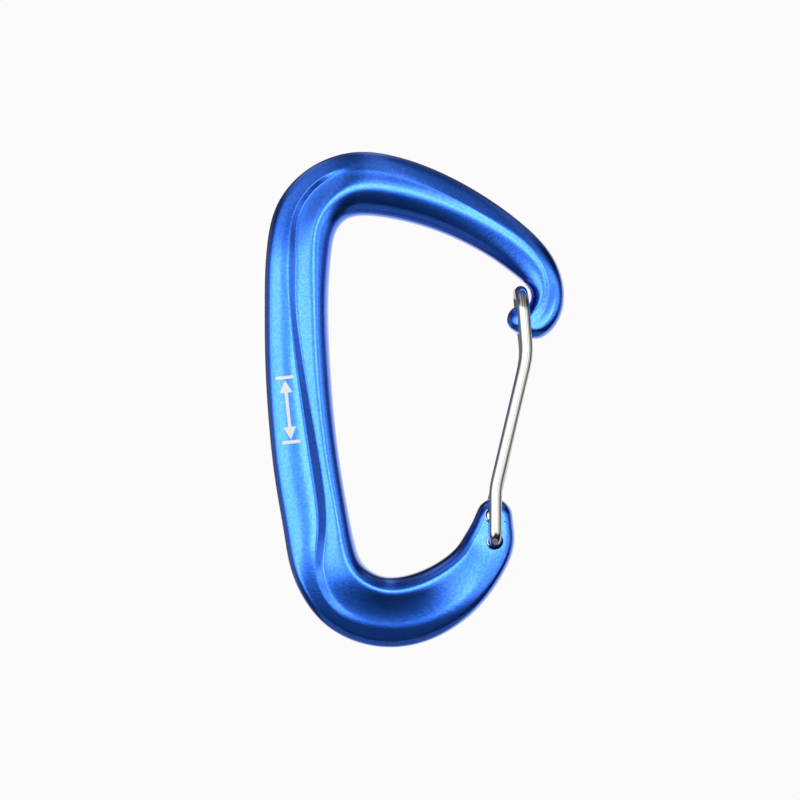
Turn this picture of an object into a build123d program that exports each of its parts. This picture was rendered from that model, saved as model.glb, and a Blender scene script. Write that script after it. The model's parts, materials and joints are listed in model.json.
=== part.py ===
"""Wiregate carabiner: a forged aluminium body and a sprung wire gate.

Frame: millimetres. The body stands in the XZ plane, +Z up, X towards the gate and Y through the
thickness. The origin is the crown of the top basket, on the inner surface that a sling hangs from.

The gate is one bent wire. Its two ends sit in offset holes, so it has to flex to open, and the
flex is what springs it shut. Here it is three rigid lengths: the loop that closes on the nose, and
two lower legs that stay in their holes and bend against the loop at mid length.
"""
from build123d import *
from collections import namedtuple
from math import hypot
import os

# ---- Body: driving dimensions ------------------------------------------------------------------
BASKET_SPAN = 58.4  # crown of the top basket to floor of the bottom basket, inside
BODY_THICKNESS = 8.0  # across the flat faces of spine and arms
NOSE_THICKNESS = 5.3  # across the nose ball that the gate legs straddle
LOBE_THICKNESS = 5.8  # across the hinge lobe
NOSE_X = 26.15  # centre of the nose ball
NOSE_Z = -16.85
NOSE_RADIUS = 2.42
LOBE_RADIUS = 3.15  # of the round end of the hinge lobe
LOBE_DX = 0.2  # centre of that round end from the hinge midpoint
LOBE_DZ = 1.25
FLANK_ROUND = 1.9  # width of the rounding along the outer edge
NOSE_ROUND = 2.2  # width of the rounding around the nose ball
LOBE_ROUND = 1.5  # width of the rounding around the end of the hinge lobe
FACE_CROWN = 0.4  # fall of each face from the channel to the rounding, where the bar is thick
CHANNEL_DEPTH = 0.9  # deepest part of the forged channel in each face
ROUNDNESS = 0.6  # Bezier handle of the edge roundings; 0.55 is a true ellipse

# ---- Gate: driving dimensions ------------------------------------------------------------------
WIRE_DIAMETER = 2.05
WIRE_CLEARANCE = 0.3  # between a gate leg and the faces of nose and lobe
HINGE_X = 21.47  # midway between the two hinge holes
HINGE_RISE = 8.13  # of that midpoint above the floor of the bottom basket
HOLE_DIAMETER = 2.6
HOLE_OFFSET = 2.06  # of each hole from the midpoint, along the lobe
HOLE_LEAN = 0.17  # sideways part of the same offset
FRONT_PIN_LIFT = 0.06  # of the front wire end above the axis of its hole, gate shut
REAR_PIN_DROP = 0.04  # of the rear wire end below the axis of its hole, gate shut
PIN_RECESS = 0.3  # of the wire ends below the far face of the lobe
CROSSBAR_DX = -0.12  # crossbar axis from the centre of the nose ball
CROSSBAR_DZ = 4.3
KNEE_DX = 0.68  # upper bend of the gate legs, from the crossbar
KNEE_DZ = -9.9
ANKLE_DX = 0.06  # lower bend of the gate legs, from the hinge midpoint
ANKLE_DZ = 6.5
KNEE_RADIUS = 12.0
ANKLE_RADIUS = 12.0
CROSSBAR_RADIUS = 2.2  # where the legs turn into the crossbar
PIN_RADIUS = 1.6  # where the legs turn into their holes
FLEX_SHARE = 0.5  # place of the flexing point between lower and upper bend
FLEX_GAP = 0.14  # left between loop and leg so that they can bend against each other

wire_radius = WIRE_DIAMETER / 2
floor_z = -BASKET_SPAN
hinge_z = floor_z + HINGE_RISE
leg_y = max(NOSE_THICKNESS, LOBE_THICKNESS) / 2 + WIRE_CLEARANCE + wire_radius

# ---- Body --------------------------------------------------------------------------------------
# The bar is lofted through sections that each span from the outer to the inner edge.
# half: half the thickness. shoulder: width of the outer rounding. plateau: outer edge to the step
# that drops into the channel. crest: inner edge to the ridge that carries the sling.
# dip: depth of the channel as a part of CHANNEL_DEPTH. The face falls by the crown from the step
# to the outer rounding; it goes flat towards the nose ball and the hinge lobe.
# The stations are drawn for the sizes in the next three lines, and grow with them.
nose_unit = NOSE_RADIUS / 2.42
width_unit = NOSE_X / 26.15
foot_unit = HINGE_X / 21.47
Station = namedtuple("Station", "outer inner half shoulder plateau crest dip")


def bar(outer, inner, thickness, unit, plateau, crest, dip):
    """A station of the bar with the common outer rounding."""
    return Station(outer, inner, thickness / 2, FLANK_ROUND, unit * plateau, unit * crest, dip)


def nose(outer, inner, swell, plateau, crest):
    """A station of the hook, placed from the nose ball; swell runs from nose to body thickness."""
    thickness = NOSE_THICKNESS + swell * (BODY_THICKNESS - NOSE_THICKNESS)
    outer_point = (NOSE_X + nose_unit * outer[0], NOSE_Z + nose_unit * outer[1])
    inner_point = (NOSE_X + nose_unit * inner[0], NOSE_Z + nose_unit * inner[1])
    return bar(outer_point, inner_point, thickness, nose_unit, plateau, crest, 0)


def top(outer, inner, plateau, crest, dip):
    """A station of the top arm, placed from the crown of the top basket."""
    outer_point = (width_unit * outer[0], width_unit * outer[1])
    inner_point = (width_unit * inner[0], width_unit * inner[1])
    return bar(outer_point, inner_point, BODY_THICKNESS, width_unit, plateau, crest, dip)


def spine(outer, inner, plateau, crest, dip):
    """A station of the spine; its Z is a part of the span between the baskets."""
    outer_point = (width_unit * outer[0], outer[1] * BASKET_SPAN)
    inner_point = (width_unit * inner[0], inner[1] * BASKET_SPAN)
    return bar(outer_point, inner_point, BODY_THICKNESS, width_unit, plateau, crest, dip)


def bottom(outer, inner, thickness, plateau, crest, dip):
    """A station of the bottom arm; its Z is measured from the floor of the bottom basket."""
    outer_point = (foot_unit * outer[0], floor_z + foot_unit * outer[1])
    inner_point = (foot_unit * inner[0], floor_z + foot_unit * inner[1])
    return bar(outer_point, inner_point, thickness, foot_unit, plateau, crest, dip)


def rounded_end(centre, radius, towards_inner, thickness, rounding):
    """A symmetric station, which a half turn closes with a round end."""
    length = hypot(*towards_inner)
    across = (towards_inner[0] / length * radius, towards_inner[1] / length * radius)
    outer = (centre[0] - across[0], centre[1] - across[1])
    inner = (centre[0] + across[0], centre[1] + across[1])
    return Station(outer, inner, thickness / 2, rounding, radius, rounding, 0)


lobe_taper = BODY_THICKNESS - LOBE_THICKNESS
nose_end = rounded_end((NOSE_X, NOSE_Z), NOSE_RADIUS, (0.4, 0.92), NOSE_THICKNESS, NOSE_ROUND)
lobe_centre = (HINGE_X + LOBE_DX, hinge_z + LOBE_DZ)
lobe_end = rounded_end(lobe_centre, LOBE_RADIUS, (-0.98, 0.18), LOBE_THICKNESS, LOBE_ROUND)
stations = [
    nose_end,
    nose((0.55, -2.82), (1.02, 2.6), 0.03, 2.6, 2.3),
    nose((2.4, -3.05), (1.25, 2.95), 0.08, 2.7, 2.1),
    nose((4.95, -1.5), (1.37, 3.5), 0.2, 2.7, 2.0),
    nose((6.82, 3.55), (1.32, 4.4), 0.45, 2.5, 2.4),
    nose((6.05, 8.05), (0.78, 5.55), 0.7, 2.3, 3.1),
    nose((4.15, 11.45), (-0.85, 7.0), 0.9, 2.4, 4.1),
    top((26.6, -1.6), (22.2, -7.5), 2.6, 4.4, 0.0),
    top((22.95, 1.25), (18.8, -5.4), 2.8, 4.3, 0.05),
    top((16.85, 5.1), (13.3, -2.8), 2.9, 4.4, 0.1),
    top((10.45, 8.1), (7.65, -1.0), 2.8, 4.6, 0.15),
    top((5.5, 9.65), (3.6, -0.2), 2.7, 4.7, 0.2),
    top((-1.7, 10.2), (-0.3, 0.0), 2.6, 4.5, 0.2),
    top((-7.7, 8.0), (-2.3, -0.65), 2.7, 3.8, 0.25),
    top((-13.3, 1.95), (-3.95, -2.8), 3.3, 3.2, 0.3),
    spine((-15.0, -0.082), (-4.6, -0.103), 3.9, 2.6, 0.4),
    spine((-15.4, -0.236), (-5.1, -0.238), 4.3, 2.0, 0.5),
    spine((-15.35, -0.382), (-4.9, -0.377), 5.1, 1.95, 0.65),
    spine((-14.8, -0.562), (-4.2, -0.546), 5.8, 1.9, 0.85),
    spine((-13.6, -0.747), (-2.95, -0.716), 6.3, 1.8, 1.0),
    bottom((-12.2, 6.5), (-1.5, 8.6), BODY_THICKNESS, 5.6, 1.75, 1.0),
    bottom((-10.5, -0.6), (-0.2, 3.5), BODY_THICKNESS, 3.9, 1.8, 0.95),
    bottom((-6.3, -7.0), (1.3, 1.4), BODY_THICKNESS, 3.0, 1.9, 0.9),
    bottom((-0.9, -10.3), (3.0, 0.4), BODY_THICKNESS, 3.2, 1.95, 0.85),
    bottom((4.85, -11.3), (5.0, 0.0), BODY_THICKNESS, 3.3, 2.0, 0.8),
    bottom((12.7, -9.5), (8.85, 0.7), BODY_THICKNESS, 3.0, 1.9, 0.65),
    bottom((18.6, -5.4), (12.5, 2.4), BODY_THICKNESS - 0.23 * lobe_taper, 2.9, 1.8, 0.4),
    bottom((22.7, -0.1), (15.6, 4.9), LOBE_THICKNESS + 0.36 * lobe_taper, 3.2, 1.7, 0.15),
    bottom((24.7, 4.3), (17.0, 7.0), LOBE_THICKNESS + 0.02 * lobe_taper, 3.6, 1.6, 0.0),
    bottom((25.0, 7.5), (18.0, 8.8), LOBE_THICKNESS, 3.5, 1.5, 0.0),
    lobe_end,
]


def crown_of(station):
    """Fall of the face between the step and the outer rounding."""
    swell = (2 * station.half - LOBE_THICKNESS) / (BODY_THICKNESS - LOBE_THICKNESS)
    return FACE_CROWN * max(0, swell)


def width_of(station):
    """Distance from the outer to the inner edge of a station."""
    return hypot(station.outer[0] - station.inner[0], station.outer[1] - station.inner[1])


def section_plane(station):
    """Plane of a station: local x from the outer to the inner edge, local y through the face."""
    across_x = (station.inner[0] - station.outer[0]) / width_of(station)
    across_z = (station.inner[1] - station.outer[1]) / width_of(station)
    origin = (station.outer[0], 0, station.outer[1])
    return Plane(origin=origin, x_dir=(across_x, 0, across_z), z_dir=(-across_z, 0, across_x))


def face_profile(station):
    """Control points of the four Bezier curves over one face, from the outer to the inner edge."""
    width = width_of(station)
    half = station.half
    shoulder = station.shoulder
    step = station.plateau
    ridge = width - station.crest
    run = ridge - step
    dip = station.dip * CHANNEL_DEPTH
    crown = crown_of(station)
    edge = half - crown
    handle = shoulder * ROUNDNESS
    third = (step - shoulder) / 3
    slope = 2 * crown / (3 * third)
    flank = [(0, 0), (0, ROUNDNESS * edge),
             (shoulder - handle, edge - handle * slope), (shoulder, edge)]
    plateau = [(shoulder, edge), (shoulder + third, edge + third * slope),
               (step - third, half), (step, half)]
    channel = [(step, half), (step + 0.2 * run, half - 1.6 * dip),
               (ridge - 0.45 * run, half - 0.9 * dip), (ridge, half)]
    rail = [(ridge, half), (ridge + ROUNDNESS * station.crest, half),
            (width, ROUNDNESS * half), (width, 0)]
    return [flank, plateau, channel, rail]


def mirrored(curve):
    """The same curve on the other face, run the other way."""
    return [(x, -y) for x, y in reversed(curve)]


# A builder joins smooth curves into one edge. The loft needs the same eight edges in each section,
# so these faces are made in algebra mode, outside any builder.
def section(station):
    """Closed section of the bar, the same on both faces."""
    front = face_profile(station)
    rear = [mirrored(curve) for curve in reversed(front)]
    edges = [Bezier(*curve) for curve in front + rear]
    return section_plane(station) * Face(Wire(edges))


def half_section(station):
    """The inner half of a symmetric section, from its middle to the inner edge."""
    middle = width_of(station) / 2
    half = station.half
    rail = face_profile(station)[3]
    edges = [
        Line((middle, -half), (middle, half)),
        Line((middle, half), rail[0]),
        Bezier(*rail),
        Bezier(*mirrored(rail)),
        Line((rail[0][0], -half), (middle, -half)),
    ]
    return section_plane(station) * Face(Wire(edges))


def turning_axis(station):
    """Axis through the middle of a station, along Y."""
    middle_x = (station.outer[0] + station.inner[0]) / 2
    middle_z = (station.outer[1] + station.inner[1]) / 2
    return Axis((middle_x, 0, middle_z), (0, 1, 0))


front_hole = (HINGE_X + HOLE_LEAN, hinge_z - HOLE_OFFSET)
rear_hole = (HINGE_X - HOLE_LEAN, hinge_z + HOLE_OFFSET)

sections = [section(station) for station in stations]
nose_half = half_section(nose_end)
lobe_half = half_section(lobe_end)

with BuildPart() as body:
    loft(sections=sections)
    revolve(profiles=nose_half, axis=turning_axis(nose_end), revolution_arc=-180)
    revolve(profiles=lobe_half, axis=turning_axis(lobe_end), revolution_arc=180)
    with BuildSketch(Plane.XZ.offset(-BODY_THICKNESS)):
        with Locations(front_hole, rear_hole):
            Circle(HOLE_DIAMETER / 2)
    extrude(amount=2 * BODY_THICKNESS, mode=Mode.SUBTRACT)
body.part.label = "body"

# ---- Gate --------------------------------------------------------------------------------------
crossbar = (NOSE_X + CROSSBAR_DX, NOSE_Z + CROSSBAR_DZ)
knee = (crossbar[0] + KNEE_DX, crossbar[1] + KNEE_DZ)
ankle = (HINGE_X + ANKLE_DX, hinge_z + ANKLE_DZ)
front_pin = (front_hole[0], front_hole[1] + FRONT_PIN_LIFT)
rear_pin = (rear_hole[0], rear_hole[1] - REAR_PIN_DROP)
shank = hypot(knee[0] - ankle[0], knee[1] - ankle[1])
flex_half_gap = FLEX_GAP / 2 / shank


def on_shank(share):
    """Point of the straight length between lower and upper bend; share 0 is the lower bend."""
    return (ankle[0] + share * (knee[0] - ankle[0]), ankle[1] + share * (knee[1] - ankle[1]))


loop_end = on_shank(FLEX_SHARE + flex_half_gap)
leg_end = on_shank(FLEX_SHARE - flex_half_gap)


def at(point, y):
    """Point of the XZ plane, moved to the given Y."""
    return (point[0], y, point[1])


def wire(points, radii):
    """Round wire along straight runs joined by arcs."""
    with BuildPart() as length:
        with BuildLine() as route:
            FilletPolyline(*points, radius=radii)
        with BuildSketch(Plane(origin=route.line @ 0, z_dir=route.line % 0)):
            Circle(wire_radius)
        sweep(path=route.line)
    return length


gate_loop = wire(
    [at(loop_end, -leg_y), at(knee, -leg_y), at(crossbar, -leg_y),
     at(crossbar, leg_y), at(knee, leg_y), at(loop_end, leg_y)],
    [KNEE_RADIUS, CROSSBAR_RADIUS, CROSSBAR_RADIUS, KNEE_RADIUS],
)
gate_loop.part.label = "gate_loop"

pin_reach = LOBE_THICKNESS / 2 - PIN_RECESS
gate_front_leg = wire(
    [at(leg_end, -leg_y), at(ankle, -leg_y), at(front_pin, -leg_y), at(front_pin, pin_reach)],
    [ANKLE_RADIUS, PIN_RADIUS],
)
gate_front_leg.part.label = "gate_front_leg"

gate_rear_leg = wire(
    [at(leg_end, leg_y), at(ankle, leg_y), at(rear_pin, leg_y), at(rear_pin, -pin_reach)],
    [ANKLE_RADIUS, PIN_RADIUS],
)
gate_rear_leg.part.label = "gate_rear_leg"

# ---- Files -------------------------------------------------------------------------------------
os.makedirs("parts", exist_ok=True)
for piece in (body, gate_loop, gate_front_leg, gate_rear_leg):
    export_step(piece.part, f"parts/{piece.part.label}.step")
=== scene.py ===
# %% [markdown]
# # A wiregate carabiner
#
# This lesson dresses a small forged aluminium carabiner. The real one is made in two steps. A hot
# bar is forged, tumbled smooth and anodised blue. Then one bent spring wire is sprung into two
# holes at its lower end, and closes on the hooked nose.
#
# The solid parts come in first as a fixed frame. Every piece below is made where its solid part
# already lies, so nothing has to be moved into place later.

# %% Load the frame
import json
from math import cos, hypot, pi, radians, sin

import bmesh
import bpy
import numpy as np
from mathutils import Matrix, Vector
from mathutils.bvhtree import BVHTree
from mathutils.geometry import interpolate_bezier

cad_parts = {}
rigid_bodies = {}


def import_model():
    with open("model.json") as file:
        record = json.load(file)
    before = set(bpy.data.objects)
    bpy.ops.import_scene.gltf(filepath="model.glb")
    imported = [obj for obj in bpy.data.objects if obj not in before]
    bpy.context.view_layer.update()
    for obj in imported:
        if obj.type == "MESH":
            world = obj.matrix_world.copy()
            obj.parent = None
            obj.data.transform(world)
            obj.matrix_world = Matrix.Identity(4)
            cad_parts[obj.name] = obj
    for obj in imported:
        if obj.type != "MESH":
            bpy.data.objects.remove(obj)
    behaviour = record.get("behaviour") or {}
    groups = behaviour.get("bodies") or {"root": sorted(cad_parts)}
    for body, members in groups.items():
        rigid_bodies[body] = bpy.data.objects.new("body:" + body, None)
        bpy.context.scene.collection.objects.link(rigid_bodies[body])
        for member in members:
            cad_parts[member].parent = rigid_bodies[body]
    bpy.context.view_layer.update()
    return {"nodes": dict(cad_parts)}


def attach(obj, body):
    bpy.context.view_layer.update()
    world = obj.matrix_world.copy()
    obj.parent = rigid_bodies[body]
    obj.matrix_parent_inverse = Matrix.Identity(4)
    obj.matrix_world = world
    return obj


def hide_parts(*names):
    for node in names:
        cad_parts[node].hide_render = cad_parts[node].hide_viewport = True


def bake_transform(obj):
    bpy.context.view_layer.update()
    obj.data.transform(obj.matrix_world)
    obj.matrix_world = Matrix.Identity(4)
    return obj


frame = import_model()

MM = 0.001
MERGE = 0.002 * MM  # points nearer than this are one point

# %% [markdown]
# ## Helpers
#
# A finished mesh becomes an object at the origin, with its place in its mesh. Its normals are
# recalculated once its doubles are merged, because spinning and capping can turn faces inwards.

# %% Helper: from a bmesh to a finished object
def finish_piece(name, bm, body, smooth=True):
    """Turns a bmesh into an object that rides on a body."""
    bmesh.ops.remove_doubles(bm, verts=bm.verts, dist=MERGE)
    bmesh.ops.recalc_face_normals(bm, faces=bm.faces)
    for face in bm.faces:
        face.smooth = smooth
    mesh = bpy.data.meshes.new(name)
    bm.to_mesh(mesh)
    bm.free()
    piece = bpy.data.objects.new(name, mesh)
    bpy.context.scene.collection.objects.link(piece)
    if body:
        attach(piece, body)
    print(name, "has", len(mesh.polygons), "faces")
    return piece


# %% [markdown]
# ## The forged body
#
# The bar changes its section all the way round: a round edge outside, a gently crowned face, a
# forged channel that saves weight, and a ridge beside the inner edge, where the sling runs over a
# smooth rail. It could be sculpted, but a bar with a changing section is best drawn like a ship's
# hull: a few stations, each with its own section, and a smooth skin through all of them.
#
# Each station says in millimetres where its outer and inner edges are. Then come nine numbers for
# its section: half the thickness at the ridge, the width of the outer rounding, the place of the
# step into the channel, the distance of the ridge from the inner edge, the depth of the channel,
# the slope from the ridge down to the step, how far the outer shoulder lies below the step, the
# lean of the inner rail where it starts, and how full the rail is.

# %% Stations of the bar
nose = Vector((26.15, -16.85))  # centre of the ball at the nose
lobe = Vector((21.67, -48.82))  # centre of the round end that holds the gate
NOSE_RADIUS = 2.42
LOBE_RADIUS = 3.15
NOSE_HALF = 2.65  # half the thickness at the nose, at the lobe and in the bar
LOBE_HALF = 2.9
BAR_HALF = 4.0
END_FULLNESS = 0.6


def round_end(centre, radius, towards_inner, half, rounding):
    """A symmetric station; half a turn of it closes the bar with a round end."""
    across = Vector(towards_inner).normalized() * radius
    outer = centre - across
    inner = centre + across
    return (*outer, *inner, half, rounding, radius, rounding, 0.0, 0.0, 0.0, 0.0, END_FULLNESS)


# outer x, z; inner x, z; half, rounding, step, ridge; depth, slope, shoulder, lean, fullness
stations = [
    round_end(nose, NOSE_RADIUS, (0.4, 0.92), NOSE_HALF, 2.2),
    (26.7, -19.67, 27.17, -14.25, 2.69, 2.0, 2.6, 2.3, 0.0, 0.02, 0.0, 0.0, 0.6),
    (28.55, -19.9, 27.4, -13.9, 2.76, 1.8, 2.7, 2.1, 0.0, 0.05, 0.02, 0.0, 0.6),
    (31.1, -18.35, 27.52, -13.35, 2.92, 1.7, 2.7, 2.0, 0.0, 0.12, 0.05, 0.1, 0.55),
    (32.97, -13.3, 27.47, -12.45, 3.26, 1.5, 2.4, 2.2, 0.0, 0.2, 0.12, 0.15, 0.5),
    (32.2, -8.8, 26.93, -11.3, 3.6, 1.5, 2.3, 2.9, 0.0, 0.22, 0.22, 0.28, 0.95),
    (30.3, -5.4, 25.3, -9.85, 3.87, 1.5, 2.4, 3.9, 0.0, 0.26, 0.34, 0.3, 0.88),
    (26.6, -1.6, 22.2, -7.5, BAR_HALF, 1.5, 2.6, 4.4, 0.0, 0.26, 0.38, 0.25, 0.65),
    (22.95, 1.25, 18.8, -5.4, BAR_HALF, 1.5, 2.8, 4.3, 0.0, 0.24, 0.36, 0.3, 0.6),
    (16.85, 5.1, 13.3, -2.8, BAR_HALF, 1.5, 2.9, 4.4, 0.0, 0.24, 0.4, 0.3, 0.6),
    (10.45, 8.1, 7.65, -1.0, BAR_HALF, 1.5, 2.8, 4.6, 0.01, 0.24, 0.38, 0.3, 0.6),
    (5.5, 9.65, 3.6, -0.2, BAR_HALF, 1.5, 2.7, 4.7, 0.02, 0.24, 0.36, 0.3, 0.6),
    (-1.7, 10.17, -0.3, 0.0, BAR_HALF, 1.5, 2.6, 4.5, 0.03, 0.27, 0.42, 0.3, 0.6),
    (-7.7, 8.0, -2.3, -0.65, BAR_HALF, 1.5, 2.7, 3.8, 0.44, 0.29, 0.46, 0.3, 0.6),
    (-13.3, 1.95, -3.95, -2.8, BAR_HALF, 1.5, 3.3, 3.2, 0.72, 0.17, 0.46, 0.3, 0.6),
    (-15.0, -4.8, -4.6, -6.0, BAR_HALF, 1.5, 3.9, 2.6, 0.6, 0.0, 0.38, 0.3, 0.6),
    (-15.4, -13.8, -5.1, -13.9, 3.98, 1.5, 4.3, 2.0, 0.56, 0.0, 0.4, 0.3, 0.6),
    (-15.35, -22.3, -4.9, -22.0, 3.75, 1.5, 5.1, 1.95, 0.62, -0.07, 0.42, 0.3, 0.6),
    (-14.8, -32.8, -4.2, -31.9, 3.3, 1.5, 6.0, 1.9, 0.72, -0.25, 0.42, 0.3, 0.6),
    (-13.6, -43.6, -2.95, -41.8, 3.05, 1.5, 6.4, 1.8, 0.72, -0.36, 0.42, 0.3, 0.6),
    (-12.2, -51.9, -1.5, -49.8, 3.4, 1.5, 5.7, 1.75, 0.8, -0.17, 0.4, 0.3, 0.6),
    (-10.5, -59.0, -0.2, -54.9, 3.95, 1.5, 3.9, 1.8, 0.42, 0.03, 0.22, 0.3, 0.6),
    (-6.3, -65.4, 1.3, -57.0, BAR_HALF, 1.5, 3.0, 1.9, 0.2, 0.15, 0.26, 0.3, 0.6),
    (-0.9, -68.7, 3.0, -58.0, BAR_HALF, 1.5, 3.2, 1.95, 0.13, 0.21, 0.36, 0.3, 0.6),
    (4.85, -69.7, 5.0, -58.4, BAR_HALF, 1.5, 3.3, 2.0, 0.12, 0.22, 0.4, 0.3, 0.6),
    (12.7, -67.9, 8.85, -57.7, BAR_HALF, 1.5, 3.0, 1.9, 0.1, 0.16, 0.32, 0.3, 0.6),
    (18.6, -63.8, 12.5, -56.0, 3.75, 1.5, 2.9, 1.8, 0.05, 0.08, 0.22, 0.2, 0.6),
    (22.7, -58.5, 15.6, -53.5, 3.3, 1.5, 3.2, 1.7, 0.0, 0.03, 0.12, 0.1, 0.6),
    (24.7, -54.1, 17.0, -51.4, 2.92, 1.5, 3.6, 1.6, 0.0, 0.0, 0.05, 0.0, 0.6),
    (25.0, -50.9, 18.0, -49.6, LOBE_HALF, 1.5, 3.5, 1.5, 0.0, 0.0, 0.0, 0.0, 0.6),
    round_end(lobe, LOBE_RADIUS, (-0.98, 0.18), LOBE_HALF, 1.5),
]
print(len(stations), "stations")

# %% [markdown]
# A cubic spline through the stations gives as many in-between sections as the skin needs. It
# bends as little as it can, as a ship's batten does, so reflections run along the bar without
# kinks. The distance between stations is measured along the middle of the bar.

# %% Spline through the stations
def batten(knots, rows, places):
    """Natural cubic spline through rows at knots, read at places."""
    gap = np.diff(knots)
    slope = np.diff(rows, axis=0) / gap[:, None]
    count = len(knots)
    system = np.eye(count)
    right = np.zeros_like(rows)
    for i in range(1, count - 1):
        system[i, i - 1:i + 2] = gap[i - 1], 2 * (gap[i - 1] + gap[i]), gap[i]
        right[i] = 6 * (slope[i] - slope[i - 1])
    bend = np.linalg.solve(system, right)
    i = np.clip(np.searchsorted(knots, places) - 1, 0, count - 2)
    a = ((knots[i + 1] - places) / gap[i])[:, None]
    b = 1 - a
    curved = ((a ** 3 - a) * bend[i] + (b ** 3 - b) * bend[i + 1]) * (gap[i] ** 2)[:, None] / 6
    return a * rows[i] + b * rows[i + 1] + curved


rows = np.array(stations)
middles = (rows[:, 0:2] + rows[:, 2:4]) / 2
steps = np.linalg.norm(np.diff(middles, axis=0), axis=1)
knots = np.concatenate([[0], np.cumsum(steps)])
SECTIONS = 400
sections = batten(knots, rows, np.linspace(0, knots[-1], SECTIONS))
print("the middle of the bar is %.1f mm long" % knots[-1])

# %% [markdown]
# One face of a section is five Bezier curves in a row: the outer rounding, the crowned face, the
# wall of the channel, its floor and the inner rail. The other face is its mirror image.

# %% One section of the bar
ROUNDNESS = 0.6  # handle length of the roundings; 0.55 would be a true ellipse
CURVES = 5
CURVE_STEPS = 12
LEAST_LIE = -0.1  # just before the channel the face dips inwards no faster than this
WALL_SHARE, WALL_GROWTH = 0.2, 0.9  # the wall's share of the channel, more if the face dips
WALL_SOFTNESS = 2.5
FLOOR_SLOPE = 0.8
FOOT_HANDLE, RIDGE_HANDLE = 0.07, 0.45  # handles of the floor, as shares of its width
RIDGE_SHARE, RIDGE_LEAST = 0.24, 0.8  # how far the rounding of the ridge reaches
SHARP_ENOUGH = 0.2  # a ridge flatter than this is rounded less


def face_points(row):
    """Points over the front face, from the outer to the inner edge, as (across, out)."""
    width = hypot(row[2] - row[0], row[3] - row[1])
    half, shoulder, step, crest, dip, fall, crown, lean, full = row[4:]
    ridge = width - crest
    run = ridge - step
    high = half - fall * run
    edge = high - crown
    handle = shoulder * ROUNDNESS
    third = (step - shoulder) / 3
    lie = max(fall, LEAST_LIE)  # how the face lies just before the channel
    slope = 2 * crown / (3 * third) - lie
    wall = (WALL_SHARE + WALL_GROWTH * max(0, -fall)) * run
    floor = run - wall
    foot = high + wall * fall - dip  # height at the foot of the wall
    tilt = fall - dip / wall  # slope of the wall
    start = tilt + (fall - tilt) * max(0, 1 - WALL_SOFTNESS * dip / wall)  # soft if shallow
    rise = max(fall, 0) + FLOOR_SLOPE * (half - foot) / floor  # slope at the ridge
    curves = [
        [(0, 0), (0, ROUNDNESS * edge), (shoulder - handle, edge - handle * slope),
         (shoulder, edge)],
        [(shoulder, edge), (shoulder + third, edge + third * slope),
         (step - third, high - third * lie), (step, high)],
        [(step, high), (step + wall / 3, high + start * wall / 3),
         (step + wall * 2 / 3, foot - tilt * wall / 3), (step + wall, foot)],
        [(step + wall, foot),
         (step + wall + FOOT_HANDLE * floor, foot + FOOT_HANDLE * floor * tilt),
         (ridge - RIDGE_HANDLE * floor, half - RIDGE_HANDLE * floor * rise), (ridge, half)],
        [(ridge, half), (ridge + full * crest, half - full * crest * lean),
         (width, ROUNDNESS * half), (width, 0)],
    ]
    points = []
    for curve in curves:
        ends = [Vector((*p, 0)) for p in curve]
        points += interpolate_bezier(*ends, CURVE_STEPS + 1)[:-1]
    points.append(Vector((width, 0, 0)))
    # The tumbled ridge is round, not sharp: a small parabola replaces its corner.
    reach = max(RIDGE_SHARE * crest, RIDGE_LEAST) * min(1, (lean + abs(fall)) / SHARP_ENOUGH)
    for p in points:
        away = abs(p.x - ridge)
        if away < reach:
            p.y -= max(0, rise + lean) * (reach - away) ** 2 / (4 * reach)
    return points


# %% The whole ring of a section
def section_ring(row):
    """All points of a section in metres: over the front face, then back over the rear face."""
    outer = Vector((row[0], 0, row[1]))
    along = (Vector((row[2], 0, row[3])) - outer).normalized()
    face = face_points(row)
    front = [outer + along * p.x - Vector((0, p.y, 0)) for p in face]
    rear = [outer + along * p.x + Vector((0, p.y, 0)) for p in face[-2:0:-1]]
    return [p * MM for p in front + rear]


RING = 2 * CURVES * CURVE_STEPS
print("each section has", RING, "points")

# %% [markdown]
# The skin starts as one circle of points, moved onto the first section. Its edges are extruded,
# and each new ring is moved onto the next section. A number stored on every point tells which
# place of the section it belongs to; an extruded point inherits it.
#
# The two ends are half a turn of the end section, which is what a rounded end is. Spin makes it
# from the inner half of the ring, and it lands on the outer half.

# %% Tools for the skin
END_STEPS = 28


def place_ring(verts, layer, row):
    """Moves the points of a ring onto a section."""
    ring = section_ring(row)
    for vert in verts:
        vert.co = ring[vert[layer]]


def close_end(bm, edges, layer, row, turn):
    """Closes the bar with half a turn of the inner half of its end ring."""
    half_edges = [e for e in edges
                  if all(RING // 4 <= v[layer] <= 3 * RING // 4 for v in e.verts)]
    half_verts = list({v for e in half_edges for v in e.verts})
    centre = Vector(((row[0] + row[2]) / 2, 0, (row[1] + row[3]) / 2)) * MM
    bmesh.ops.spin(bm, geom=half_verts + half_edges, cent=centre, axis=(0, 1, 0), angle=turn,
                   steps=END_STEPS, use_merge=False)


# %% Skin of the bar
bm = bmesh.new()
layer = bm.verts.layers.int.new("place")
ring = bmesh.ops.create_circle(bm, cap_ends=False, radius=MM, segments=RING)["verts"]
for index, vert in enumerate(ring):
    vert[layer] = index
place_ring(ring, layer, sections[0])
first_edges = list(bm.edges)
edges = first_edges
for row in sections[1:]:
    grown = bmesh.ops.extrude_edge_only(bm, edges=edges)["geom"]
    place_ring([g for g in grown if isinstance(g, bmesh.types.BMVert)], layer, row)
    edges = [g for g in grown if isinstance(g, bmesh.types.BMEdge)
             and abs(g.verts[0][layer] - g.verts[1][layer]) in (1, RING - 1)]
close_end(bm, first_edges, layer, sections[0], -pi)
close_end(bm, edges, layer, sections[-1], pi)
bmesh.ops.remove_doubles(bm, verts=bm.verts, dist=MERGE)
print("the skin has", len(bm.faces), "faces")

# %% [markdown]
# The bar still changes its width where a round end begins, so the two would meet in a faint kink.
# Smoothing the outline over ever shorter stretches takes the kink away.

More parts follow.
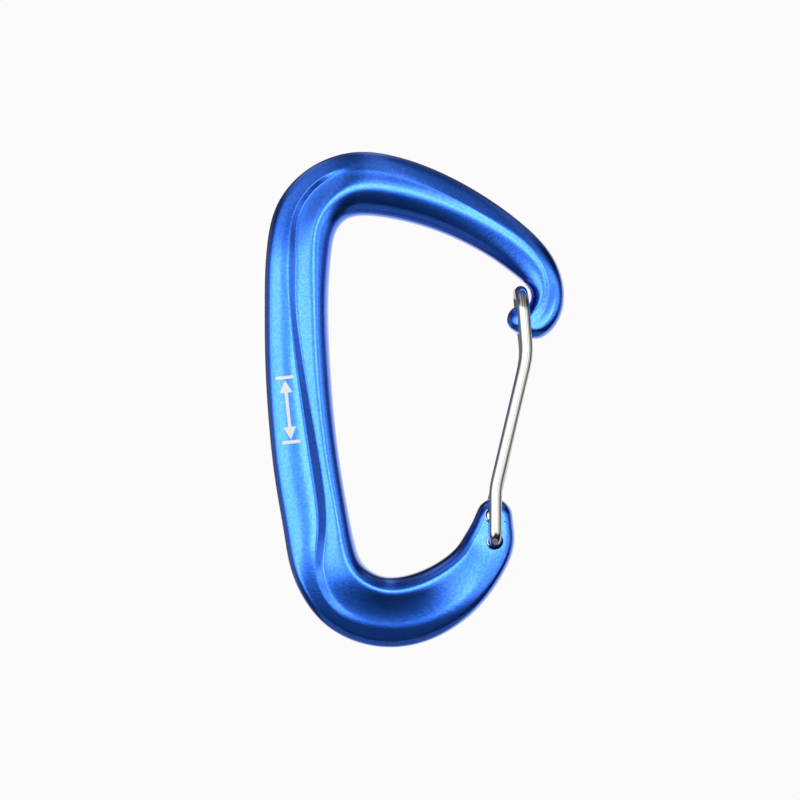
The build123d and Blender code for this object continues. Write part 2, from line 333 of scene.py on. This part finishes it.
# %% Ease the two ends into the bar
EDGE_FROM = 1.4  # only the points this far from the middle of the bar are smoothed
END_REACH = 6
SPREADS = (3.0, 2.5, 2.0, 1.6, 1.2, 0.8)  # to both sides of the joint, ever shorter
PASSES = 4


def ease_outline(bm, row, forwards):
    """Smooths the outline where the round end meets the bar, most of all at the joint itself."""
    middle = Vector(((row[0] + row[2]) / 2, 0, (row[1] + row[3]) / 2))
    across = Vector((row[2] - row[0], 0, row[3] - row[1])).normalized()
    along = Vector((-across.z, 0, across.x)) * forwards
    edge_verts = [v for v in bm.verts if abs((v.co / MM - middle).dot(across)) > EDGE_FROM]
    for spread in SPREADS:
        near = [v for v in edge_verts if abs((v.co / MM - middle).dot(along)) < spread
                and (v.co / MM - middle).length < END_REACH]
        for _ in range(PASSES):
            bmesh.ops.smooth_vert(bm, verts=near, factor=0.5, use_axis_x=True,
                                  use_axis_y=False, use_axis_z=True)


ease_outline(bm, sections[-1], -1)
ease_outline(bm, sections[0], 1)
body = finish_piece("forged_body", bm, "carabiner_body")
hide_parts("body")

# %% [markdown]
# ## The hinge holes
#
# The two wire ends turn in two drilled holes. They could be part of the skin, but that would spoil
# its even rings. So a Boolean cuts them, as a drill does, and a small bevel breaks each rim, as the
# tumbling does before anodising.

# %% Drill the holes
hinge = Vector((21.47, -50.27))  # midway between the holes
apart = Vector((0.17, -2.06))  # from there to the front hole
front_hole = hinge + apart
rear_hole = hinge - apart
HOLE_RADIUS = 1.3
HOLE_SIDES = 48
DRILL_LENGTH = 20

bm = bmesh.new()
for hole in (front_hole, rear_hole):
    place = Matrix.Translation((hole.x * MM, 0, hole.y * MM)) @ Matrix.Rotation(pi / 2, 4, "X")
    bmesh.ops.create_cone(bm, cap_ends=True, segments=HOLE_SIDES, radius1=HOLE_RADIUS * MM,
                          radius2=HOLE_RADIUS * MM, depth=DRILL_LENGTH * MM, matrix=place)
bmesh.ops.recalc_face_normals(bm, faces=bm.faces)
drill_mesh = bpy.data.meshes.new("drill")
bm.to_mesh(drill_mesh)
bm.free()
drill = bpy.data.objects.new("drill", drill_mesh)
bpy.context.scene.collection.objects.link(drill)
cut = body.modifiers.new("holes", "BOOLEAN")
cut.operation = "DIFFERENCE"
cut.solver = "EXACT"
cut.object = drill
bpy.context.view_layer.update()
finished = body.evaluated_get(bpy.context.evaluated_depsgraph_get())
drilled = bpy.data.meshes.new_from_object(finished)
body.modifiers.clear()
bpy.data.objects.remove(drill)
print("drilled body:", len(drilled.polygons), "faces")

# %% Break the rims
RIM_BEVEL = 0.04
RIM_SLACK = 0.02  # how far an edge of the rim may lie off the drill's radius
FACE_LEVEL = 2  # the rims lie further out than this
SHARP = radians(40)


def on_rim(edge):
    """True for an edge that runs round the mouth of a hole."""
    middle = (edge.verts[0].co + edge.verts[1].co) / 2 / MM
    near = min(hypot(middle.x - h.x, middle.z - h.y) for h in (front_hole, rear_hole))
    return (abs(near - HOLE_RADIUS) < RIM_SLACK and abs(middle.y) > FACE_LEVEL
            and len(edge.link_faces) == 2 and edge.calc_face_angle() > SHARP)


bm = bmesh.new()
bm.from_mesh(drilled)
rims = [e for e in bm.edges if on_rim(e)]
bmesh.ops.bevel(bm, geom=rims, offset=RIM_BEVEL * MM, offset_type="OFFSET", segments=2,
                profile=0.5, affect="EDGES", clamp_overlap=True, material=-1)
for face in bm.faces:
    face.smooth = True
bm.to_mesh(body.data)
bm.free()
print("rim edges:", len(rims), " faces now:", len(body.data.polygons))

# %% [markdown]
# ## The wire gate
#
# The gate is one length of spring wire, bent on a jig: up one side, across inside the hook, and
# down the other side, with each end turned into its hole. A curve with a round bevel could draw it,
# but then each bend would only come close to its radius. So it is built as it is made: a circle is
# pulled along each straight run and spun round each bend.
#
# The legs flex as the gate opens. So each half of the wire, from the middle of the crossbar to its
# own hole, is one piece.

# %% Pull the wire straight
WIRE_RADIUS = 1.025
WIRE_SIDES = 40
LEG_GAP = 0.3  # between a leg and the face of the lobe
LEG_Y = LOBE_HALF + LEG_GAP + WIRE_RADIUS
BEND_STEP = radians(7)
TIP_ROUNDING = 0.15  # length of the rounded edge at the cut end
TIP_SHARE = 0.86  # how much of the wire's radius is left there


def pull(bm, ring, move, pieces):
    """Pulls a ring of edges along a straight run."""
    for _ in range(pieces):
        grown = bmesh.ops.extrude_edge_only(bm, edges=ring)["geom"]
        verts = [g for g in grown if isinstance(g, bmesh.types.BMVert)]
        bmesh.ops.translate(bm, verts=verts, vec=move / pieces)
        ring = [g for g in grown if isinstance(g, bmesh.types.BMEdge)
                and all(v in verts for v in g.verts)]
    return ring


# %% Bend the wire
def bend(bm, ring, corner, before, after, radius):
    """Spins a ring of edges round a bend between two directions."""
    turn = before.angle(after)
    axis = before.cross(after).normalized()
    start = corner - before * radius * np.tan(turn / 2)
    centre = start + axis.cross(before) * radius
    pieces = max(3, round(turn / BEND_STEP))
    grown = bmesh.ops.spin(bm, geom=ring, cent=centre, axis=axis, angle=turn, steps=pieces,
                           use_merge=False)["geom_last"]
    return [g for g in grown if isinstance(g, bmesh.types.BMEdge)]


# %% A whole length of wire
def bent_wire(corners, radii):
    """Round wire along straight runs and bends, with a cut and lightly rounded end."""
    corners = [Vector(c) * MM for c in corners]
    runs = [(b - a).normalized() for a, b in zip(corners, corners[1:])]
    bm = bmesh.new()
    place = Matrix.Translation(corners[0]) @ runs[0].to_track_quat("Z", "Y").to_matrix().to_4x4()
    bmesh.ops.create_circle(bm, cap_ends=True, radius=WIRE_RADIUS * MM, segments=WIRE_SIDES,
                            matrix=place)
    ring = list(bm.edges)
    here = corners[0]
    for i, radius in enumerate(radii):
        before, after, corner = runs[i], runs[i + 1], corners[i + 1]
        cutback = radius * MM * np.tan(before.angle(after) / 2)
        straight = corner - before * cutback - here
        ring = pull(bm, ring, straight, max(1, round(straight.length / MM)))
        ring = bend(bm, ring, corner, before, after, radius * MM)
        here = corner + after * cutback
    ring = pull(bm, ring, corners[-1] - runs[-1] * TIP_ROUNDING * MM - here, 2)
    ring = pull(bm, ring, runs[-1] * TIP_ROUNDING * MM, 1)
    tip = list({v for e in ring for v in e.verts})
    bmesh.ops.scale(bm, verts=tip, vec=(TIP_SHARE,) * 3, space=Matrix.Translation(-corners[-1]))
    bmesh.ops.holes_fill(bm, edges=ring, sides=0)
    return bm


# %% [markdown]
# The corners below follow the solid wire: crossbar, upper bend, lower bend and the turn into the
# hole. A bent wire is never quite exact. Here the crossbar lies a touch higher and nearer the
# spine than in the solid, and the lower bend a touch further out. The rear leg stands further out
# than the front one at both its bends. The bend at the hole is kept narrow, because a wider one
# would cut into the rim. The front wire end sits in the lower hole, the rear one in the upper
# hole. That offset is what makes the gate spring shut.

# %% Bend the two halves of the gate wire
crossbar = Vector((25.88, -12.37))
knee = Vector((26.71, -22.45))
ankle = Vector((21.68, -43.77))
rear_knee = knee + Vector((0.45, 0))  # the rear leg stands a little further out
rear_ankle = ankle + Vector((0.75, 0))
PIN_DROP = Vector((0, 0.1))  # each end sits a touch below the middle of its hole
front_pin = front_hole - PIN_DROP
rear_pin = rear_hole - PIN_DROP
PIN_RECESS = 0.3  # the ends stop this far below the far face
PIN_REACH = LOBE_HALF - PIN_RECESS
CROSSBAR_BEND, LEG_BEND, PIN_BEND = 3.2, 12.0, 1.9


def gate_half(name, side, knee, ankle, pin):
    """One half of the gate wire; side is -1 for the front leg and 1 for the rear one."""
    leg_y = side * LEG_Y
    corners = [
        (crossbar.x, 0, crossbar.y),
        (crossbar.x, leg_y, crossbar.y),
        (knee.x, leg_y, knee.y),
        (ankle.x, leg_y, ankle.y),
        (pin.x, leg_y, pin.y),
        (pin.x, -side * PIN_REACH, pin.y),
    ]
    bends = (CROSSBAR_BEND, LEG_BEND, LEG_BEND, PIN_BEND)
    return finish_piece(name, bent_wire(corners, bends), None)


wire_front = gate_half("gate_wire_front", -1, knee, ankle, front_pin)
wire_rear = gate_half("gate_wire_rear", 1, rear_knee, rear_ankle, rear_pin)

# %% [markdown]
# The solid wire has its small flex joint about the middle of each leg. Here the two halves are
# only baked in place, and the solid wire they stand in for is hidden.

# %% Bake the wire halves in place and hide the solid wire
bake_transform(wire_front)
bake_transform(wire_rear)
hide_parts("gate_loop", "gate_front_leg")
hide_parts("gate_rear_leg")

# %% [markdown]
# ## The mark on the spine
#
# Carabiners carry a mark on the spine. Here it is a plain double arrow between two bars, the
# general sign for a load along the spine. It could be painted with the finish, but a skin of its
# own keeps sharp edges at any size. Flat shapes are drawn first, then every point drops onto the
# body.

# %% Shapes of the mark
MARK_CENTRE = Vector((-11.4, -31.3))
MARK_TILT = radians(6)
MARK_LIFT = 0.012  # how far the skin lies above the face
RAY_START = -0.02  # in front of the whole body
LINE = 0.5  # width of the shaft and of the two bars
SHAFT_LENGTH = 7.4
BAR_PLACE, BAR_WIDTH = 5.15, 2.9
TIP_PLACE, HEAD_SIZE = 4.75, 2.0


def bar_shape(bm, centre, size, cuts):
    """A flat bar; size and cuts are along and across the mark."""
    place = Matrix.Translation((*centre, 0)) @ Matrix.Diagonal((size[0] / 2, size[1] / 2, 1, 1))
    bmesh.ops.create_grid(bm, x_segments=cuts[0], y_segments=cuts[1], size=1, matrix=place)


def head_shape(bm, tip, length, width):
    """A flat arrowhead that points away from the middle of the mark."""
    base = tip - length if tip > 0 else tip + length
    corners = [bm.verts.new(p) for p in ((tip, 0, 0), (base, width / 2, 0), (base, -width / 2, 0))]
    head = bm.faces.new(corners)
    bmesh.ops.subdivide_edges(bm, edges=head.edges, cuts=5, use_grid_fill=True)


# %% Double arrow on the spine
bm = bmesh.new()
bar_shape(bm, (0, 0), (SHAFT_LENGTH, LINE), (24, 3))
for side in (-1, 1):
    bar_shape(bm, (side * BAR_PLACE, 0), (LINE, BAR_WIDTH), (3, 16))
    head_shape(bm, side * TIP_PLACE, HEAD_SIZE, HEAD_SIZE)
lengthways = Vector((sin(MARK_TILT), 0, -cos(MARK_TILT)))
sideways = Vector((cos(MARK_TILT), 0, sin(MARK_TILT)))
skin = BVHTree.FromPolygons([v.co for v in body.data.vertices],
                            [p.vertices for p in body.data.polygons])
for vert in bm.verts:
    flat = Vector((MARK_CENTRE.x, 0, MARK_CENTRE.y))
    flat += lengthways * vert.co.x + sideways * vert.co.y
    start = Vector((flat.x * MM, RAY_START, flat.z * MM))
    hit = skin.ray_cast(start, Vector((0, 1, 0)))[0]
    vert.co = hit - Vector((0, MARK_LIFT * MM, 0))
mark = finish_piece("load_mark", bm, "carabiner_body")

# %% [markdown]
# ## Blue anodising
#
# Anodising grows a clear, dyed layer on the aluminium. The metal shines through the dye, so the
# finish is a metal with a blue colour, under a thin clear coat. Tumbling leaves the surface very
# slightly uneven, like fine orange peel, and the dye takes a little unevenly. Drilling leaves the
# walls of the two holes rougher than the rest. Their colour is also painted a deep dark blue, which
# is painted shade for the inside of the holes. The finish finds them by the distance from each
# hole's axis.

# %% Helper: nodes
def add_node(tree, kind, inputs=(), **settings):
    """Adds a node, sets its settings and then its inputs by name or number."""
    made = tree.nodes.new(kind)
    for key, value in settings.items():
        setattr(made, key, value)
    for key, value in dict(inputs).items():
        if isinstance(value, bpy.types.NodeSocket):
            tree.links.new(value, made.inputs[key])
        else:
            made.inputs[key].default_value = value
    return made


def calculate(tree, operation, *values, **settings):
    """A Math node; its values are numbers or sockets. Returns its result."""
    return add_node(tree, "ShaderNodeMath", dict(enumerate(values)), operation=operation,
                    **settings).outputs["Value"]


def new_finish(name):
    """A new material with its Principled shader; returns material, tree and shader."""
    finish = bpy.data.materials.new(name)
    finish.use_nodes = True
    return finish, finish.node_tree, finish.node_tree.nodes["Principled BSDF"]


def noise(tree, place, scale, detail):
    """A noise pattern; scale is the number of its grains in a metre."""
    return add_node(tree, "ShaderNodeTexNoise", {
        "Vector": place, "Scale": scale, "Detail": detail}).outputs["Fac"]


def unevenness(tree, shader, height, strength, depth):
    """Lets a pattern of heights tilt the surface a little."""
    bump = add_node(tree, "ShaderNodeBump", {
        "Height": height, "Strength": strength, "Distance": depth})
    tree.links.new(bump.outputs["Normal"], shader.inputs["Normal"])


# %% Blue anodised finish: the dye
DYE_DEEP = (0.014, 0.140, 0.82, 1)
DYE_LIGHT = (0.024, 0.195, 1.0, 1)
blue, tree, shader = new_finish("blue_anodising")
place = add_node(tree, "ShaderNodeTexCoord").outputs["Object"]
uptake = add_node(tree, "ShaderNodeMapRange", {
    "Value": noise(tree, place, 2600.0, 3.0), "From Min": 0.35, "From Max": 0.65})
dye = add_node(tree, "ShaderNodeMix", {"Factor": uptake.outputs["Result"]}, data_type="RGBA")
dye.inputs[6].default_value = DYE_DEEP
dye.inputs[7].default_value = DYE_LIGHT
print("dye from", DYE_DEEP[:3], "to", DYE_LIGHT[:3])

# %% Blue anodised finish: rough walls in the holes, with painted shade
WALL_END, FACE_START = 1.31 * MM, 1.37 * MM  # from a hole's axis
# painted shade: the walls of the holes get a deep dark blue in place of the shade inside them
HOLE_SHADE_BLUE = (0.002, 0.012, 0.09, 1)
DRILLED_ROUGHNESS, TUMBLED_ROUGHNESS = 0.7, 0.23
COAT_WEIGHT = 0.8
near = None
for hole in (front_hole, rear_hole):
    from_axis = add_node(tree, "ShaderNodeMapping", {
        "Vector": place, "Location": (-hole.x * MM, 0, -hole.y * MM), "Scale": (1, 0, 1)})
    away = add_node(tree, "ShaderNodeVectorMath", {0: from_axis.outputs["Vector"]},
                    operation="LENGTH")
    away = away.outputs["Value"]
    near = away if near is None else calculate(tree, "MINIMUM", near, away)
outside = add_node(tree, "ShaderNodeMapRange", {
    "Value": near, "From Min": WALL_END, "From Max": FACE_START})
colour = add_node(tree, "ShaderNodeMix", {"Factor": outside.outputs["Result"]}, data_type="RGBA")
colour.inputs[6].default_value = HOLE_SHADE_BLUE
tree.links.new(dye.outputs[2], colour.inputs[7])
tree.links.new(colour.outputs[2], shader.inputs["Base Color"])
for socket, in_hole, on_face in (("Roughness", DRILLED_ROUGHNESS, TUMBLED_ROUGHNESS),
                                 ("Coat Weight", 0.0, COAT_WEIGHT)):
    mix = add_node(tree, "ShaderNodeMapRange", {
        "Value": outside.outputs["Result"], "To Min": in_hole, "To Max": on_face})
    tree.links.new(mix.outputs["Result"], shader.inputs[socket])
print("the walls of the holes end %.2f mm from their axes" % (WALL_END / MM))

# %% Blue anodised finish: orange peel
PEEL_DEPTH = 0.000011
grain = noise(tree, place, 3600.0, 2.0)
peel = noise(tree, place, 1700.0, 1.0)
unevenness(tree, shader, calculate(tree, "ADD", grain, peel), 1.0, PEEL_DEPTH)
shader.inputs["Metallic"].default_value = 1.0
shader.inputs["Coat Roughness"].default_value = 0.14
body.data.materials.clear()
body.data.materials.append(blue)
print("orange peel: %.3f mm" % (PEEL_DEPTH / MM))

# %% [markdown]
# ## Polished steel and the white mark
#
# The wire is polished stainless spring steel. Drawing it through a die leaves faint lines along
# its length. The mark is where a laser has burnt the dye away, so it is matt and almost white.

# %% Polished steel
LINE_GRAINS = (6000, 6000, 220)  # fine across the wire, long along it
LINE_DEPTH = 0.000004
steel, tree, shader = new_finish("polished_steel")
place = add_node(tree, "ShaderNodeTexCoord").outputs["Object"]
stretch = add_node(tree, "ShaderNodeMapping", {"Vector": place, "Scale": LINE_GRAINS})
lines = noise(tree, stretch.outputs["Vector"], 1.0, 2.0)
unevenness(tree, shader, lines, 0.25, LINE_DEPTH)
shader.inputs["Base Color"].default_value = (0.5, 0.5, 0.485, 1)
shader.inputs["Metallic"].default_value = 1.0
shader.inputs["Roughness"].default_value = 0.09
for piece in (wire_front, wire_rear):
    piece.data.materials.append(steel)
print("drawn lines: %.3f mm" % (LINE_DEPTH / MM))

# %% White mark
MARK_DARKEST, MARK_PALEST = 0.68, 0.82
etched, tree, shader = new_finish("etched_white")
place = add_node(tree, "ShaderNodeTexCoord").outputs["Object"]
tone = add_node(tree, "ShaderNodeMapRange", {
    "Value": noise(tree, place, 6000.0, 2.0), "From Min": 0.3, "From Max": 0.7,
    "To Min": MARK_DARKEST, "To Max": MARK_PALEST})
tree.links.new(tone.outputs["Result"], shader.inputs["Base Color"])
shader.inputs["Roughness"].default_value = 0.6
mark.data.materials.append(etched)

# %% Finish of the solid parts
# They are not shown, but get the finish of the piece that stands in for them.
for node, metal in (("body", blue), ("gate_loop", steel), ("gate_front_leg", steel),
                    ("gate_rear_leg", steel)):
    solid = frame["nodes"][node]
    solid.data.materials.clear()
    solid.data.materials.append(metal)

# %% [markdown]
# ## Floor, light and camera
#
# Shiny metal shows the room, so the light is the look. A room that is white all round would make
# it look flat, so this one has bright and dark parts. The floor is pale and lies well below the
# object. Most of what the camera sees of it is its own glow, which mirrors hardly show, so it
# stays pale without more light on the object.

# %% Pale floor
FLOOR_RADIUS = 0.2
FLOOR_LEVEL = -0.3
bm = bmesh.new()
bmesh.ops.create_circle(bm, cap_ends=True, segments=64, radius=FLOOR_RADIUS)
bmesh.ops.translate(bm, verts=bm.verts, vec=(0, 0, FLOOR_LEVEL))
floor_mesh = bpy.data.meshes.new("floor")
bm.to_mesh(floor_mesh)
bm.free()
floor = bpy.data.objects.new("floor", floor_mesh)
bpy.context.scene.collection.objects.link(floor)
print("the floor lies at z", FLOOR_LEVEL, "m")


# %% Finish of the floor
def glow_share(tree, in_mirrors, to_camera):
    """How much of a glow is seen: in mirrors and glass, and straight from the camera."""
    path = add_node(tree, "ShaderNodeLightPath").outputs
    mirrored = calculate(tree, "ADD", path["Is Glossy Ray"], path["Is Transmission Ray"])
    straight = calculate(tree, "MULTIPLY", path["Is Camera Ray"], to_camera)
    return calculate(tree, "MULTIPLY_ADD", mirrored, in_mirrors, straight, use_clamp=True)


FLOOR_GLOW = (0.975, 0.965, 0.97, 1)
pale, tree, shader = new_finish("pale_floor")
shader.inputs["Base Color"].default_value = (0.8, 0.8, 0.8, 1)
shader.inputs["Roughness"].default_value = 0.9
glow = add_node(tree, "ShaderNodeEmission", {"Color": FLOOR_GLOW, "Strength": 1.0})
blend = add_node(tree, "ShaderNodeMixShader", {
    "Fac": glow_share(tree, 0.02, 0.9), 1: shader.outputs["BSDF"], 2: glow.outputs["Emission"]})
tree.links.new(blend.outputs["Shader"], tree.nodes["Material Output"].inputs["Surface"])
floor.data.materials.append(pale)

# %% [markdown]
# The room is a world without walls of its own: each direction has a brightness. Its direction is
# taken apart into X, to the right, Y, away from the camera, and Z, up. A ramp gives the
# brightness along each, and the ramps are multiplied.
#
# - Up: bright to a little above the middle, then darker to the top.
# - Down: dark soon below the middle. At both sides, most of all at the left, the bright part
#   reaches lower.
# - Sideways: a bright strip straight ahead, a wide bright wall at the left and a weaker one at the
#   right, with dark between them. The strip lights the ridges and the faces beside them.
# - Away: brightest behind the camera, dark behind the object, except far above and below.
#
# Behind the object hangs a white sheet. The camera sees it wherever it looks past the object, and
# mirrors see it straight behind. The wire shows it along its edges, and the dark next to it draws
# the thin dark lines that set the wire off.

# %% An empty room
world = bpy.data.worlds.new("white_room")
bpy.context.scene.world = world
world.use_nodes = True
tree = world.node_tree
tree.nodes.clear()
direction = add_node(tree, "ShaderNodeTexCoord").outputs["Generated"]
split = add_node(tree, "ShaderNodeSeparateXYZ", {"Vector": direction}).outputs


def room_ramp(value, stops):
    """Brightness by direction: stops are (place from -1 to 1, brightness)."""
    spread = add_node(tree, "ShaderNodeMapRange", {"Value": value, "From Min": -1, "From Max": 1})
    ramp = add_node(tree, "ShaderNodeValToRGB", {"Fac": spread.outputs["Result"]})
    ramp.color_ramp.interpolation = "EASE"
    while len(ramp.color_ramp.elements) < len(stops):
        ramp.color_ramp.elements.new(0.5)
    for stop, (where, level) in zip(ramp.color_ramp.elements, stops):
        stop.position = (where + 1) / 2
        stop.color = (level, level, level, 1)
    return ramp.outputs["Color"]


# %% Brightness up and down
up = room_ramp(split["Z"], [
    (-1, 1), (0.12, 1), (0.25, 0.6), (0.4, 0.28), (0.55, 0.23), (0.8, 0.17), (1, 0.13)])
lift = room_ramp(split["X"], [(-1, 0.3), (-0.5, 0.3), (0, 0), (0.25, 0.15), (1, 0.15)])
down = room_ramp(calculate(tree, "ADD", lift, split["Z"]), [
    (-1, 0.01), (-0.6, 0.02), (-0.36, 0.03), (-0.25, 0.2), (-0.1, 0.9), (-0.04, 1), (1, 1)])

# %% Brightness sideways
sideways_light = room_ramp(split["X"], [
    (-1, 0.6), (-0.88, 0.6), (-0.65, 0.9), (-0.52, 1.1), (-0.42, 1), (-0.3, 0.35), (-0.2, 0.31),
    (-0.1, 0.33), (-0.02, 1.1), (0.07, 1.1), (0.17, 0.38), (0.42, 0.28), (0.55, 0.65),
    (0.66, 0.6), (0.8, 0.22), (1, 0.3)])

# %% Brightness away from the camera
ahead = room_ramp(split["Y"], [
    (-1, 1.5), (-0.95, 1.4), (-0.85, 1), (-0.45, 1), (-0.2, 0.16), (0.4, 0.16), (1, 0)])
steep = room_ramp(calculate(tree, "ABSOLUTE", split["Z"]), [(-1, 0), (0.5, 0), (0.8, 1), (1, 1)])
away_light = calculate(tree, "MAXIMUM", ahead, steep)

# %% All directions together, and the white sheet
WALL_LEVEL = 3.3
SHEET_TURN = 0.42  # the sheet reaches further round at the lower right
SHEET_WHITE = (0.975, 0.96, 0.968, 1)
lit = calculate(tree, "MULTIPLY", up, down)
lit = calculate(tree, "MULTIPLY", lit, sideways_light)
lit = calculate(tree, "MULTIPLY", lit, away_light)
room = add_node(tree, "ShaderNodeBackground", {
    "Color": (1, 1, 1, 1), "Strength": calculate(tree, "MULTIPLY", lit, WALL_LEVEL)})
lower_right = calculate(tree, "SUBTRACT", split["X"], split["Z"])
behind = room_ramp(calculate(tree, "MULTIPLY_ADD", lower_right, SHEET_TURN, split["Y"]), [
    (-1, 0), (0.72, 0), (0.93, 1), (1, 1)])
sheet = add_node(tree, "ShaderNodeBackground", {"Color": SHEET_WHITE, "Strength": 1.0})
blend = add_node(tree, "ShaderNodeMixShader", {
    "Fac": glow_share(tree, behind, 1.0), 1: room.outputs["Background"],
    2: sheet.outputs["Background"]})
add_node(tree, "ShaderNodeOutputWorld", {"Surface": blend.outputs["Shader"]})
print("the room has", len(tree.nodes), "nodes")

# %% [markdown]
# Two weak softboxes stand at the left and right, a little in front of the object, and face its
# middle. The camera looks straight at its flat side from 28.5 cm away.

# %% Softboxes
middle = Vector((0.008, 0, -0.03))
BOX_SIZE = (0.3, 0.3)


def softbox(name, place, power):
    """An area light that faces the middle of the object and isn't seen itself."""
    lamp = bpy.data.lights.new(name, "AREA")
    lamp.shape = "RECTANGLE"
    lamp.size, lamp.size_y = BOX_SIZE
    lamp.energy = power
    light = bpy.data.objects.new(name, lamp)
    light.location = place
    light.rotation_euler = (middle - Vector(place)).to_track_quat("-Z", "Y").to_euler()
    light.visible_camera = False
    bpy.context.scene.collection.objects.link(light)
    print(name, "gives", power, "W")


softbox("softbox_left", (-0.47, -0.16, -0.02), 0.15)
softbox("softbox_right", (0.49, -0.16, -0.02), 0.05)

# %% Camera
CAMERA_PLACE = (0.00646, -0.285, -0.02974)
camera_data = bpy.data.cameras.new("camera")
camera_data.lens = 79.35
camera_data.sensor_width = 36
camera_data.clip_start = 0.01
camera_data.clip_end = 20
camera = bpy.data.objects.new("camera", camera_data)
camera.location = CAMERA_PLACE
camera.rotation_euler = (pi / 2, 0, 0)
bpy.context.scene.collection.objects.link(camera)
bpy.context.scene.camera = camera
bpy.context.scene.view_settings.view_transform = "Standard"
print("the camera stands", -CAMERA_PLACE[1], "m in front")
